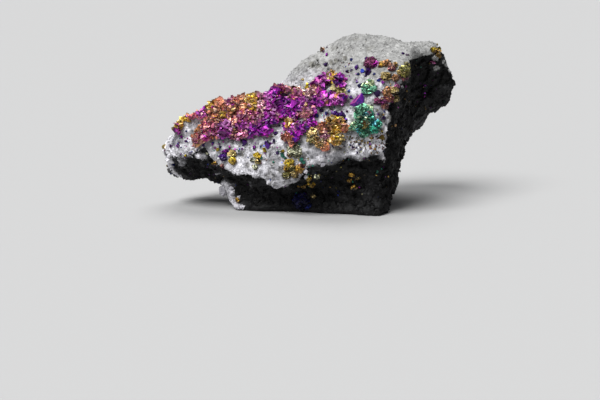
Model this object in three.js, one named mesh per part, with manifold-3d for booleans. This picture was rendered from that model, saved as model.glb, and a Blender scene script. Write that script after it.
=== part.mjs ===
// A hand specimen of peacock ore: iridescent chalcopyrite crystals grown on a pale, sugary host rock.
// Millimetres, +Z up. The broad crystal-bearing face looks towards -Y and the long axis runs along X.
// Each crystal mass is one solid and lies on the rock with a hairline gap under it.

import * as THREE from "three";
import { ConvexGeometry } from "three/addons/geometries/ConvexGeometry.js";
import { mergeVertices } from "three/addons/utils/BufferGeometryUtils.js";
import { ImprovedNoise } from "three/addons/math/ImprovedNoise.js";
import Module from "manifold-3d";

const wasm = await Module();
wasm.setup();

// ---------------------------------------------------------------- host rock: driving dimensions

// Cross-sections across the length, each a loop of [y, z] points that starts at the crest.
// front: crest, brow, face, chest, lip. sole: recess, front edge, back edge. back: bulge, shoulder.
const SECTIONS = [
  {
    x: -34.5,
    front: [[-8, 18], [-8.5, 17], [-8.5, 15.5], [-8, 14], [-7, 12.5]],
    sole: [[-3, 10.5], [1, 9], [4, 10]],
    back: [[4, 13.5], [-1, 17]],
  },
  {
    x: -32,
    front: [[-10.5, 23], [-11.5, 21], [-10.5, 19], [-10, 17], [-8.5, 14]],
    sole: [[-3, 9.5], [2, 7.5], [6, 8.5]],
    back: [[6, 13], [-2, 20.5]],
  },
  {
    x: -27,
    front: [[-13, 25.8], [-14, 24], [-14.5, 21.5], [-15, 18], [-13, 13]],
    sole: [[-7, 9.5], [-0.5, 6.2], [6, 6.5]],
    back: [[8, 13], [-2, 23]],
  },
  {
    x: -20.5,
    front: [[-15, 27.5], [-16, 25.5], [-17, 22], [-17.3, 17], [-15.5, 11.5]],
    sole: [[-11, 8], [-7.5, 5.5], [3, 5.5]],
    back: [[9, 13], [-2, 24.5]],
  },
  {
    x: -15.5,
    front: [[-15, 28.2], [-16.5, 26.5], [-18, 22], [-19.3, 15.5], [-19.3, 10]],
    sole: [[-14.5, 6], [-12.8, -1.6], [-7, -1.6]],
    back: [[9, 12], [-1, 25.5]],
  },
  {
    x: -10,
    front: [[-14, 29], [-17.5, 27], [-20, 22], [-23, 15], [-21.5, 7.5]],
    sole: [[-17, 4], [-15.3, -1.6], [-5, -1.6]],
    back: [[10, 12], [0, 26.5]],
  },
  {
    x: -4,
    front: [[-10.5, 32.8], [-16.5, 30], [-21.5, 23], [-26, 14.5], [-23.5, 6.5]],
    sole: [[-19, 4.5], [-16.8, -1.6], [-1, -1.6]],
    back: [[11, 13], [1, 29]],
  },
  {
    x: 2,
    front: [[-10, 38.2], [-16, 34.5], [-22, 28.5], [-28, 17], [-26, 8]],
    sole: [[-19.5, 5], [-18.3, -1.6], [1, -1.6]],
    back: [[12, 13], [3, 32]],
  },
  {
    x: 8,
    front: [[-9, 42], [-16, 38], [-24.5, 29.5], [-30.5, 19], [-27, 10]],
    sole: [[-22, 6.5], [-21, -1.6], [3, -1.6]],
    back: [[13, 14], [4, 35]],
  },
  {
    x: 14,
    front: [[-8, 44.6], [-18, 41.5], [-25, 33], [-30.7, 20.5], [-27.5, 12.5]],
    sole: [[-24.5, 7], [-23.8, -1.6], [4, -1.6]],
    back: [[13, 15], [5, 36.5]],
  },
  {
    x: 20,
    front: [[-9, 44.8], [-20, 41.5], [-27.5, 34.5], [-30.7, 21.5], [-28, 13.5]],
    sole: [[-26.5, 7], [-25.5, -1.6], [4, -1.6]],
    back: [[13, 15], [6, 36.5]],
  },
  {
    x: 24.5,
    front: [[-10, 44], [-21, 41.2], [-29, 35], [-26.5, 22.5], [-24.5, 14]],
    sole: [[-22, 7.5], [-17, 3], [3, 3.5]],
    back: [[13, 17], [6, 36]],
  },
  {
    x: 27.8,
    front: [[-10.5, 43], [-20.5, 40.3], [-26, 36], [-17.5, 26.5], [-14.5, 18.5]],
    sole: [[-10, 14], [-3, 12], [6, 13.5]],
    back: [[12, 21], [5, 36.5]],
  },
  {
    x: 32,
    front: [[-10, 42.6], [-14.5, 40], [-9.5, 34], [-7.5, 27.5], [-5, 22]],
    sole: [[-1, 19.5], [3, 19.5], [7, 22.5]],
    back: [[9, 29], [3, 38]],
  },
  {
    x: 36.5,
    front: [[-9, 42], [-12.5, 39.5], [-10, 34.5], [-7.5, 29.5], [-5, 25]],
    sole: [[-1, 23], [3, 23.5], [6, 27]],
    back: [[6, 33.5], [0, 38.5]],
  },
  {
    x: 40,
    front: [[-6.5, 35.6], [-8.5, 34.5], [-7.5, 32], [-6, 29], [-4, 27]],
    sole: [[-1, 26], [2, 26.5], [3.5, 29]],
    back: [[3, 32], [-1, 35]],
  },
];
const LEFT_TIP = [-36.4, -7, 14.5];
const RIGHT_TIP = [42, -6.5, 31.5];
const RESTING_PLANE_Z = 0;
const RING_STEPS = 38;
const LENGTH_STEPS = 36;
const LUMP = { size: 8.5, height: 0.9 };
const CHIP = { size: 3.6, height: 0.5 };
const BREAK = { size: 11, height: 4.5, fromY: -7, toY: 5, fromZ: 1, toZ: 9 };

// ---------------------------------------------------------------- host rock: shape

const { smoothstep } = THREE.MathUtils;
const noise = new ImprovedNoise();

function noiseAt(point, size) {
  return noise.noise(point.x / size, point.y / size, point.z / size);
}

// Rings at even steps along the length, on splines through the given sections.
function ringsAlongLength() {
  const rings = SECTIONS.map(({ x, front, sole, back }) => (
    [...front, ...sole, ...back].map(([y, z]) => new THREE.Vector3(x, y, z))
  ));
  const lines = rings[0].map((_, k) => (
    new THREE.CatmullRomCurve3(rings.map((ring) => ring[k]), false, "centripetal")
  ));
  return Array.from({ length: LENGTH_STEPS + 1 }, (_, i) => {
    const corners = lines.map((line) => line.getPoint(i / LENGTH_STEPS));
    const loop = new THREE.CatmullRomCurve3(corners, true, "centripetal");
    return Array.from({ length: RING_STEPS }, (_, j) => loop.getPoint(j / RING_STEPS));
  });
}

// Rings joined into one closed surface, roughened by noise and flat where it rests. The broken back is
// rougher than the grown front.
function rockGeometry() {
  const rings = ringsAlongLength();
  const points = [...rings.flat(), new THREE.Vector3(...LEFT_TIP), new THREE.Vector3(...RIGHT_TIP)];
  const leftTip = points.length - 2;
  const rightTip = points.length - 1;
  const lastRing = (rings.length - 1) * RING_STEPS;
  const faces = [];
  for (let j = 0; j < RING_STEPS; j++) {
    const next = (j + 1) % RING_STEPS;
    faces.push(leftTip, next, j, rightTip, lastRing + j, lastRing + next);
    for (let i = 0; i < lastRing; i += RING_STEPS) {
      faces.push(i + j, i + next, i + RING_STEPS + j, i + next, i + RING_STEPS + next, i + RING_STEPS + j);
    }
  }
  const geometry = new THREE.BufferGeometry().setFromPoints(points).setIndex(faces);
  geometry.computeVertexNormals();
  const position = geometry.attributes.position;
  points.forEach((point, i) => {
    const normal = new THREE.Vector3().fromBufferAttribute(geometry.attributes.normal, i);
    const broken = smoothstep(point.y, BREAK.fromY, BREAK.toY) * smoothstep(point.z, BREAK.fromZ, BREAK.toZ);
    const rise = LUMP.height * noiseAt(point, LUMP.size)
      + CHIP.height * noiseAt(point, CHIP.size)
      + BREAK.height * broken * noiseAt(point, BREAK.size);
    const moved = point.clone().addScaledVector(normal, rise);
    position.setXYZ(i, moved.x, moved.y, Math.max(moved.z, RESTING_PLANE_Z));
  });
  geometry.computeVertexNormals();
  return geometry;
}

// The same surface moved outwards, for cutting a hairline gap into whatever lies on it.
function swell(geometry, distance) {
  const swollen = geometry.clone();
  const { position, normal } = swollen.attributes;
  for (let i = 0; i < position.count; i++) {
    position.setXYZ(
      i,
      position.getX(i) + distance * normal.getX(i),
      position.getY(i) + distance * normal.getY(i),
      position.getZ(i) + distance * normal.getZ(i),
    );
  }
  return swollen;
}

const rock = new THREE.Mesh(
  rockGeometry(),
  new THREE.MeshStandardMaterial({ color: 0xc9c8cc, roughness: 0.75, metalness: 0 }),
);
rock.name = "host_rock";

// ---------------------------------------------------------------- crystal masses: driving dimensions

const SEAM = 0.3;

const MAGENTA = { color: 0xa8307f, roughness: 0.3, metalness: 0.9 };
const GOLD = { color: 0xc99a34, roughness: 0.3, metalness: 0.9 };
const BRONZE = { color: 0xb0703c, roughness: 0.3, metalness: 0.9 };
const OLIVE = { color: 0x8c8a4c, roughness: 0.45, metalness: 0.7 };
const TEAL = { color: 0x2f9c86, roughness: 0.3, metalness: 0.9 };
const VIOLET = { color: 0x552b8c, roughness: 0.3, metalness: 0.9 };
const BLUE = { color: 0x1f2a66, roughness: 0.3, metalness: 0.9 };

// Each mass is a chain of crystals along one or more runs over the front of the rock.
// A run gives the crystals' size and the [x, z] points that it passes through.
const MASSES = [
  { name: "crust_main", look: MAGENTA, runs: [
    { size: 1.3, through: [[-31, 21.5], [-31, 23], [-29.5, 24.5], [-27.5, 25], [-24.5, 26.5]] },
    { size: 2.0, through: [[-23, 26.5], [-19, 28], [-13, 28.5], [-6, 29]] },
    { size: 2.2, through: [[-23.5, 24.5], [-18, 26], [-12, 26.5], [-6, 27], [-0.5, 28.5], [5, 29.5]] },
    { size: 2.2, through: [[5, 29.5], [10.5, 29.5]] },
    { size: 2.2, through: [[-24.5, 22], [-19.5, 23.5], [-14, 24], [-6, 24.5], [-2, 26], [0.5, 27.5]] },
    { size: 1.8, through: [[-25.5, 19.5], [-23.5, 20.5], [-20, 21.5], [-16, 21], [-8.5, 22]] },
    { size: 1.8, through: [[-5.5, 30.5], [-3.5, 32], [-0.5, 31.5], [1, 30]] },
    { size: 1.8, through: [[3, 31], [5, 33], [7.5, 34.5], [11, 34]] },
    { size: 1.7, through: [[5.5, 32], [7, 30]] },
    { size: 1.7, through: [[11.5, 30.5], [10.5, 32]] },
    { size: 1.6, through: [[0.5, 26], [3.5, 26.5]] },
    { size: 1.6, through: [[-1.5, 25], [-1.5, 23], [1.5, 22.5], [3.5, 24]] },
    { size: 1.6, through: [[-0.5, 22], [-0.5, 19.5], [-2.5, 20.5]] },
  ] },
  { name: "violet_tall_crystal", look: VIOLET, runs: [
    { size: 1.7, through: [[14.5, 29], [16, 30.5]] },
  ] },
  { name: "gold_centre", look: GOLD, runs: [
    { size: 1.3, through: [[3.5, 21.5], [3.5, 20.5], [6.5, 19]] },
    { size: 1.3, through: [[6, 23], [7, 21.5], [6, 19.5]] },
    { size: 1.4, through: [[8, 24], [10.5, 24.5], [11.5, 23]] },
    { size: 1.4, through: [[9, 24], [9, 21], [10, 20.5]] },
    { size: 1.2, through: [[7, 21.5], [9, 22]] },
  ] },
  { name: "violet_over_gold", look: VIOLET, runs: [
    { size: 1.0, through: [[9.5, 26.5], [12, 27]] },
  ] },
  { name: "teal_lower", look: TEAL, runs: [
    { size: 1.5, through: [[16, 28], [15.5, 26.5]] },
    { size: 1.5, through: [[17.5, 27], [17.5, 25.5], [16, 24]] },
    { size: 1.4, through: [[14, 23.5], [16, 24], [19.5, 24]] },
    { size: 1.2, through: [[16, 22], [18, 23]] },
  ] },
  { name: "teal_upper", look: TEAL, runs: [
    { size: 1.3, through: [[18.5, 34], [18, 32.5]] },
    { size: 1.0, through: [[17, 33], [19, 33]] },
  ] },
  { name: "magenta_ball", look: MAGENTA, runs: [
    { size: 1.6, through: [[19, 38.5]] },
  ] },
  { name: "bronze_top_right", look: BRONZE, runs: [
    { size: 1.3, through: [[21.7, 38.2], [24, 37.8], [26, 37]] },
    { size: 1.7, through: [[26.5, 37]] },
    { size: 1.3, through: [[26.5, 36.5], [27, 35.5], [27.8, 35]] },
    { size: 1.2, through: [[26, 37], [25.2, 36], [24.5, 35]] },
  ] },
  { name: "olive_crystal", look: OLIVE, runs: [
    { size: 1.15, through: [[22, 35.5]] },
  ] },
  { name: "magenta_right", look: MAGENTA, runs: [
    { size: 1.05, through: [[25, 33], [24, 32], [22.5, 32], [22.5, 30.5]] },
    { size: 1.1, through: [[20, 29.5], [22, 29.5], [24, 30]] },
    { size: 0.9, through: [[22, 29.5], [21.5, 28.5]] },
  ] },
  { name: "gold_far_right", look: GOLD, runs: [
    { size: 1.0, through: [[35, 40.5], [36.5, 39.5], [37, 40.5]] },
  ] },
  { name: "pink_far_right", look: BRONZE, runs: [
    { size: 0.7, through: [[34.5, 37], [35.5, 37]] },
  ] },
  { name: "purple_right_face", look: VIOLET, runs: [
    { size: 1.0, through: [[33.5, 30.5]] },
  ] },
  { name: "pink_top_edge", look: BRONZE, runs: [
    { size: 0.85, through: [[7, 41], [6.5, 40.5]] },
  ] },
  { name: "gold_left_tip", look: GOLD, runs: [
    { size: 0.7, through: [[-35, 16.5]] },
  ] },
  { name: "gold_pair_left", look: GOLD, runs: [
    { size: 1.0, through: [[-17, 16], [-17, 14.5]] },
  ] },
  { name: "violet_left", look: VIOLET, runs: [
    { size: 0.95, through: [[-18.5, 17], [-19.5, 15.5]] },
  ] },
  { name: "gold_left_low", look: OLIVE, runs: [
    { size: 1.0, through: [[-11.5, 15.5], [-10.5, 15.5], [-10.5, 14], [-12, 13.5], [-11, 12.5]] },
  ] },
  { name: "gold_small_left", look: BRONZE, runs: [
    { size: 0.85, through: [[-21.5, 13], [-19.5, 12.5], [-19.8, 11.5]] },
  ] },
  { name: "grey_green_mass", look: OLIVE, runs: [
    { size: 1.3, through: [[-1, 18], [-1.5, 17]] },
    { size: 1.0, through: [[-0.5, 16.5], [-2.5, 16.5]] },
  ] },
  { name: "gold_bottom_centre", look: GOLD, runs: [
    { size: 1.3, through: [[-3, 14], [-3, 11.5], [-1, 11.5]] },
    { size: 1.1, through: [[-3, 14], [0, 12.5], [0.5, 13.5]] },
  ] },
  { name: "gold_shadow_edge", look: GOLD, runs: [
    { size: 0.9, through: [[4.5, 10.5], [2.5, 10], [3, 8.5], [1, 7.5], [-0.5, 7.5]] },
  ] },
  { name: "blue_bottom_ball", look: BLUE, runs: [
    { size: 1.5, through: [[-0.5, 3.3], [2.2, 3.6]] },
    { size: 1.3, through: [[0.8, 2.3], [1, 5]] },
  ] },
  { name: "bronze_under_lip", look: BRONZE, runs: [
    { size: 0.85, through: [[13.5, 11], [14.5, 10], [13, 9], [14, 7.5]] },
  ] },
  { name: "gold_foot", look: GOLD, runs: [
    { size: 0.75, through: [[-16, 3.6], [-16, 2.2]] },
  ] },
];
// Crystal centres along a run, and how deep each one is set, as shares of its size.
const SPACING = 1.15;
const SUNK = 0.1;
const SIZE_SPREAD = 0.25;
const STRETCH_SPREAD = 0.3;
const CLEAR_OF_FRONT = -60;
const STEP_DOWN = 0.25;

// ---------------------------------------------------------------- crystal masses: shape

function randomFrom(seed) {
  let state = seed;
  return () => {
    state = (state * 1664525 + 1013904223) % 4294967296;
    return state / 4294967296;
  };
}

function solidFrom(geometry) {
  const bare = geometry.clone();
  bare.deleteAttribute("normal");
  bare.deleteAttribute("uv");
  const merged = mergeVertices(bare, 1e-4);
  return new wasm.Manifold(new wasm.Mesh({
    numProp: 3,
    vertProperties: Float32Array.from(merged.attributes.position.array),
    triVerts: Uint32Array.from(merged.index.array),
  }));
}

function geometryFrom(solid) {
  const mesh = solid.getMesh();
  const geometry = new THREE.BufferGeometry();
  geometry.setAttribute("position", new THREE.BufferAttribute(mesh.vertProperties, 3));
  geometry.setIndex(new THREE.BufferAttribute(mesh.triVerts, 1));
  geometry.computeVertexNormals();
  return geometry;
}

// Chalcopyrite's crystals are squat eight-sided bipyramids, more or less skewed.
const CRYSTAL_CORNERS = [
  new THREE.Vector3(1.25, 0, 0.2),
  new THREE.Vector3(-1.25, 0.1, -0.2),
  new THREE.Vector3(0, 1.25, 0),
  new THREE.Vector3(0.1, -1.25, 0.1),
  new THREE.Vector3(0.2, 0, 1.25),
  new THREE.Vector3(-0.2, 0, -1.25),
];

function crystal({ centre, turn, stretch, size }) {
  const corners = CRYSTAL_CORNERS.map((corner) => corner.clone()
    .multiply(stretch).multiplyScalar(size).applyQuaternion(turn).add(centre));
  return solidFrom(new ConvexGeometry(corners));
}

// Where a line from the front meets the rock, stepping down from above the crest if it misses.
function seatOnRock(x, z) {
  for (let height = z; height > RESTING_PLANE_Z; height -= STEP_DOWN) {
    const from = new THREE.Vector3(x, CLEAR_OF_FRONT, height);
    const [hit] = new THREE.Raycaster(from, new THREE.Vector3(0, 1, 0)).intersectObject(rock);
    if (hit) {
      return hit;
    }
  }
  throw new Error(`nothing to seat a crystal on at ${x}, ${z}`);
}

function crystalAt(x, z, size, random) {
  const seat = seatOnRock(x, z);
  const own = size * (0.9 + SIZE_SPREAD * random());
  const [roll, pitch, yaw] = [random(), random(), random()].map((share) => 2 * Math.PI * share);
  const [width, height] = [random(), random()].map((share) => 0.85 + STRETCH_SPREAD * share);
  return {
    centre: seat.point.clone().addScaledVector(seat.face.normal, -SUNK * own),
    turn: new THREE.Quaternion().setFromEuler(new THREE.Euler(roll, pitch, yaw)),
    stretch: new THREE.Vector3(1, width, height),
    size: own,
  };
}

function crystalsOfRun({ size, through }, random) {
  if (through.length === 1) {
    return [crystalAt(...through[0], size, random)];
  }
  const path = new THREE.Path(through.map(([x, z]) => new THREE.Vector2(x, z)));
  const steps = Math.ceil(path.getLength() / (SPACING * size));
  return path.getSpacedPoints(steps).map(({ x, y }) => crystalAt(x, y, size, random));
}

function joined(solids) {
  return solids.reduce((whole, next) => whole.add(next));
}

// ---------------------------------------------------------------- assembly

const specimen = new THREE.Group();
specimen.add(rock);

const random = randomFrom(7);
let keepClear = solidFrom(swell(rock.geometry, SEAM));
for (const { name, look, runs } of MASSES) {
  const crystals = runs.flatMap((run) => crystalsOfRun(run, random));
  const mass = joined(crystals.map(crystal)).subtract(keepClear);
  const mesh = new THREE.Mesh(geometryFrom(mass), new THREE.MeshStandardMaterial(look));
  mesh.name = name;
  specimen.add(mesh);
  const swollen = crystals.map((one) => crystal({ ...one, size: one.size + SEAM }));
  keepClear = keepClear.add(joined(swollen));
}

// The origin is the middle of the bounding box, at its bottom.
const box = new THREE.Box3().setFromObject(specimen);
const middle = box.getCenter(new THREE.Vector3());
specimen.position.set(-middle.x, -middle.y, -box.min.z);

export default specimen;
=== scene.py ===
"""A specimen of peacock ore: tarnished chalcopyrite crystals on a lump of pale, sugary rock.

Places are in millimetres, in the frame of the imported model: +X to the specimen's high end, -Y to the
side with the crystals, +Z up. A mesh is scaled to metres when its object is made.
"""

import math

import bmesh
import bpy
import numpy as np
from mathutils import Matrix, Vector
from mathutils.bvhtree import BVHTree


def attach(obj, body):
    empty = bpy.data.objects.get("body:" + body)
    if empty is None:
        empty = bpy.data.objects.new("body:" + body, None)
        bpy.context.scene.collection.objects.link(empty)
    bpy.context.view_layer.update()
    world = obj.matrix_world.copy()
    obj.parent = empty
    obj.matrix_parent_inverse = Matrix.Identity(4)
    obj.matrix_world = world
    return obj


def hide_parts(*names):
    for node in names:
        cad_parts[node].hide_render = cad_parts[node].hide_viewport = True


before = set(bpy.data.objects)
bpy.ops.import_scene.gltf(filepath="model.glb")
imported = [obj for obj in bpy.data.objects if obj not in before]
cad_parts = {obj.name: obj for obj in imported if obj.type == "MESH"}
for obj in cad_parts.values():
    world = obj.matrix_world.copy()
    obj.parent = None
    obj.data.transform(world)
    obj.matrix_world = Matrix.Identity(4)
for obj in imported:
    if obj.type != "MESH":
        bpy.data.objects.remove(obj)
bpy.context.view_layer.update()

MM = 0.001
BODY = "root"
TINT = "tint"


# -------- repeatable noise

# What scrambles the three numbers of a cell, the seed, and then both: rounds of a shift and a factor.
CELL_FACTORS = np.array([73856093, 19349663, 83492791], np.uint32)
SEED_FACTOR = 2654435761
ROUNDS = [(15, 2246822519), (13, 3266489917), (16, 1)]
# How far rough noise reaches, and how high the steps and how steep the tilts of facets are.
ROUGH_RANGE = 1.5
FACET_STEP = 1.4
FACET_TILT = 1.2


def lattice_random(cells, seed):
    """A random number from 0 to 1 for each whole-numbered cell, always the same for the same cell."""
    mixed = np.bitwise_xor.reduce(cells.astype(np.int64).astype(np.uint32) * CELL_FACTORS, axis=-1)
    mixed = mixed + np.uint32(seed * SEED_FACTOR % 2**32)
    for shift, factor in ROUNDS:
        mixed = (mixed ^ (mixed >> np.uint32(shift))) * np.uint32(factor)
    return mixed / 2.0**32


def lattice_vector(cells, seed):
    return np.stack([lattice_random(cells, seed + axis) for axis in range(3)], axis=1)


def eased(share):
    """The share from 0 to 1, with a gentle start and end."""
    return share * share * (3 - 2 * share)


def ramp(value, low, high):
    """0 below low, 1 above high, and a smooth step between."""
    return eased(np.clip((value - low) / (high - low), 0, 1))


def raised(floor, share):
    """The floor where the share is 0, and 1 where it is 1."""
    return floor + (1 - floor) * share


def mix(first, second, share):
    """Colours between the first and the second."""
    return first + (second - first) * np.asarray(share)[:, None]


def smooth_noise(points, size, seed):
    """Smooth random values from -1 to 1 that change over about the given distance."""
    scaled = points / size
    cell = np.floor(scaled)
    share = eased(scaled - cell)
    value = np.zeros(len(points))
    for corner in np.ndindex(2, 2, 2):
        offset = np.array(corner)
        weight = np.prod(np.where(offset, share, 1 - share), axis=1)
        value += weight * lattice_random(cell + offset, seed)
    return 2 * value - 1


def rough_noise(points, size, seed, octaves=4):
    """Smooth noise with finer and fainter noise on it, from about -1 to 1."""
    value = np.zeros(len(points))
    for octave in range(octaves):
        value += smooth_noise(points, size / 2**octave, seed + octave) / 2**octave
    return value / ROUGH_RANGE


def cell_noise(points, size, seed):
    """Seeds are scattered about one size apart. For each point: how far the nearest one is, how much
    further the second nearest is, the way to the nearest, all in sizes, and the nearest one's cell."""
    scaled = points / size
    home = np.floor(scaled)
    nearest = np.full(len(points), 9.0)
    second = np.full(len(points), 9.0)
    away = np.zeros_like(scaled)
    owner = np.zeros_like(scaled)
    for step in np.ndindex(3, 3, 3):
        cell = home + np.array(step) - 1
        offset = cell + lattice_vector(cell, seed) - scaled
        distance = np.linalg.norm(offset, axis=1)
        closer = distance < nearest
        second = np.where(closer, nearest, np.minimum(second, distance))
        nearest = np.where(closer, distance, nearest)
        away = np.where(closer[:, None], offset, away)
        owner = np.where(closer[:, None], cell, owner)
    return nearest, second - nearest, away, owner


def knob_noise(points, size, seed):
    """Rounded knobs side by side, from about -0.5 between them to 0.5 on top."""
    nearest, _, _, _ = cell_noise(points, size, seed)
    return 0.5 - nearest


def facet_noise(points, size, seed):
    """Flat, tilted facets with steps between them, from about -1 to 1."""
    _, _, away, owner = cell_noise(points, size, seed)
    tilt = lattice_vector(owner, seed + 10) - 0.5
    step = FACET_STEP * lattice_random(owner, seed + 20) - FACET_STEP / 2
    return step + FACET_TILT * np.einsum("ni,ni->n", tilt, away)


def layered(noise, points, layers):
    """The sum of layers of noise, each given as its height, its size and its seed."""
    return sum(height * noise(points, size, seed) for height, size, seed in layers)


# -------- meshes


def unit(vectors):
    return vectors / np.maximum(np.linalg.norm(vectors, axis=-1, keepdims=True), 1e-9)


def mesh_arrays(mesh):
    """Vertices in millimetres, triangles, and the vertices' normals."""
    points = np.zeros(len(mesh.vertices) * 3)
    mesh.vertices.foreach_get("co", points)
    mesh.calc_loop_triangles()
    triangles = np.zeros(len(mesh.loop_triangles) * 3, int)
    mesh.loop_triangles.foreach_get("vertices", triangles)
    normals = np.zeros(len(mesh.vertices) * 3)
    mesh.vertex_normals.foreach_get("vector", normals)
    return points.reshape(-1, 3) / MM, triangles.reshape(-1, 3), normals.reshape(-1, 3)


def solid_tree(mesh):
    points, triangles, _ = mesh_arrays(mesh)
    return BVHTree.FromPolygons(points.tolist(), triangles.tolist())


def paint(mesh, domain, colours):
    """Stores linear colours under the name that the materials read."""
    layer = mesh.color_attributes.new(TINT, "FLOAT_COLOR", domain)
    layer.data.foreach_set("color", np.c_[colours, np.ones(len(colours))].astype(np.float32).ravel())


def add_piece(name, mesh, material, replaced=()):
    """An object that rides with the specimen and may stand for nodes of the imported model."""
    mesh.materials.clear()
    mesh.materials.append(material)
    piece = bpy.data.objects.new(name, mesh)
    bpy.context.scene.collection.objects.link(piece)
    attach(piece, BODY)
    if replaced:
        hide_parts(*replaced)


def surface_points(points, triangles, count, rng):
    """Random places on a mesh, the direction that each faces, and the number of its triangle."""
    a, b, c = (points[triangles[:, corner]] for corner in range(3))
    across = np.cross(b - a, c - a)
    area = np.linalg.norm(across, axis=1)
    chosen = rng.choice(len(triangles), size=count, p=area / area.sum())
    u, v = rng.random(count), rng.random(count)
    folded = u + v > 1
    u, v = np.where(folded, 1 - u, u), np.where(folded, 1 - v, v)
    places = a[chosen] + u[:, None] * (b - a)[chosen] + v[:, None] * (c - a)[chosen]
    return places, unit(across[chosen]), chosen


def thin_out(places, spacing):
    """Which of the places to keep so that each little cube of space holds only one."""
    cubes = np.floor(places / spacing).astype(int)
    _, kept = np.unique(cubes, axis=0, return_index=True)
    return np.sort(kept)


# -------- crystal shapes

# The half-width of a leaning box about 1 from its middle to its corners.
BOX_HALF = 0.58
TABLET_TAPER = 0.75
# A crystal's foot is painted this dark, as painted shade, and gets lighter between these heights over its
# middle, in its sizes.
PAINTED_FOOT_SHADE = 0.10
FOOT_HEIGHTS = (-0.7, 0.3)


def hull_shape(corners):
    """A convex solid as (vertices, faces), each face flat and facing outwards."""
    shell = bmesh.new()
    for corner in corners:
        shell.verts.new(np.asarray(corner, float))
    bmesh.ops.convex_hull(shell, input=shell.verts)
    bmesh.ops.dissolve_limit(shell, angle_limit=0.01, verts=shell.verts, edges=shell.edges)
    bmesh.ops.recalc_face_normals(shell, faces=shell.faces)
    shell.verts.index_update()
    vertices = np.array([vertex.co for vertex in shell.verts])
    faces = [[vertex.index for vertex in face.verts] for face in shell.faces]
    shell.free()
    return vertices, faces


def cut_tetrahedron(cut):
    """The shape that chalcopyrite grows in: a tetrahedron whose corners are cut off."""
    tips = np.array([[1, 1, 1], [1, -1, -1], [-1, 1, -1], [-1, -1, 1]])
    corners = [tip + cut * (other - tip) for tip in tips for other in tips if (other - tip).any()]
    return hull_shape(unit(np.array(corners)))


def double_pyramid(height):
    return hull_shape([(1, 0, 0), (0, 1, 0), (-1, 0, 0), (0, -1, 0), (0, 0, height), (0, 0, -height)])


def tablet(thickness):
    """A flat five-sided crystal that gets a little smaller upwards."""
    ring = [(math.cos(turn), math.sin(turn)) for turn in np.arange(5) * math.pi / 2.5]
    lower = [(x, y, -thickness / 2) for x, y in ring]
    upper = [(TABLET_TAPER * x, TABLET_TAPER * y, thickness / 2) for x, y in ring]
    return hull_shape(lower + upper)


def leaning_box(lean):
    """The shape that dolomite grows in: a box pushed over along its diagonal."""
    along = np.full((3, 3), lean) + np.eye(3) * (1 - lean)
    signs = np.array(list(np.ndindex(2, 2, 2))) * 2 - 1
    return hull_shape(signs @ along * BOX_HALF)


def scattered_ways(count):
    """Directions spread evenly over a ball."""
    height = 1 - 2 * (np.arange(count) + 0.5) / count
    turn = math.pi * (1 + math.sqrt(5)) * np.arange(count)
    level = np.sqrt(1 - height**2)
    return np.stack([level * np.cos(turn), level * np.sin(turn), height], axis=1)


SHARP = [double_pyramid(0.9), cut_tetrahedron(0.2), double_pyramid(1.2)]
PLATE = [tablet(0.25)]
GRAINS = [leaning_box(0.22), double_pyramid(1.2)]
BLOCKS = [leaning_box(0.12), cut_tetrahedron(0.30), double_pyramid(1.0)]
BALL = [hull_shape(scattered_ways(32))]


def random_turns(count, rng):
    """Random rotation matrices."""
    w, x, y, z = unit(rng.normal(size=(count, 4))).T
    return np.stack([
        np.stack([1 - 2 * (y * y + z * z), 2 * (x * y - z * w), 2 * (x * z + y * w)], axis=1),
        np.stack([2 * (x * y + z * w), 1 - 2 * (x * x + z * z), 2 * (y * z - x * w)], axis=1),
        np.stack([2 * (x * z - y * w), 2 * (y * z + x * w), 1 - 2 * (x * x + y * y)], axis=1),
    ], axis=1)


def turns_towards(directions, rng):
    """Rotation matrices that point the third axis along each direction, with a random spin."""
    first = unit(np.cross(directions, rng.normal(size=directions.shape)))
    return np.stack([first, np.cross(directions, first), directions], axis=2)


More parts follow.
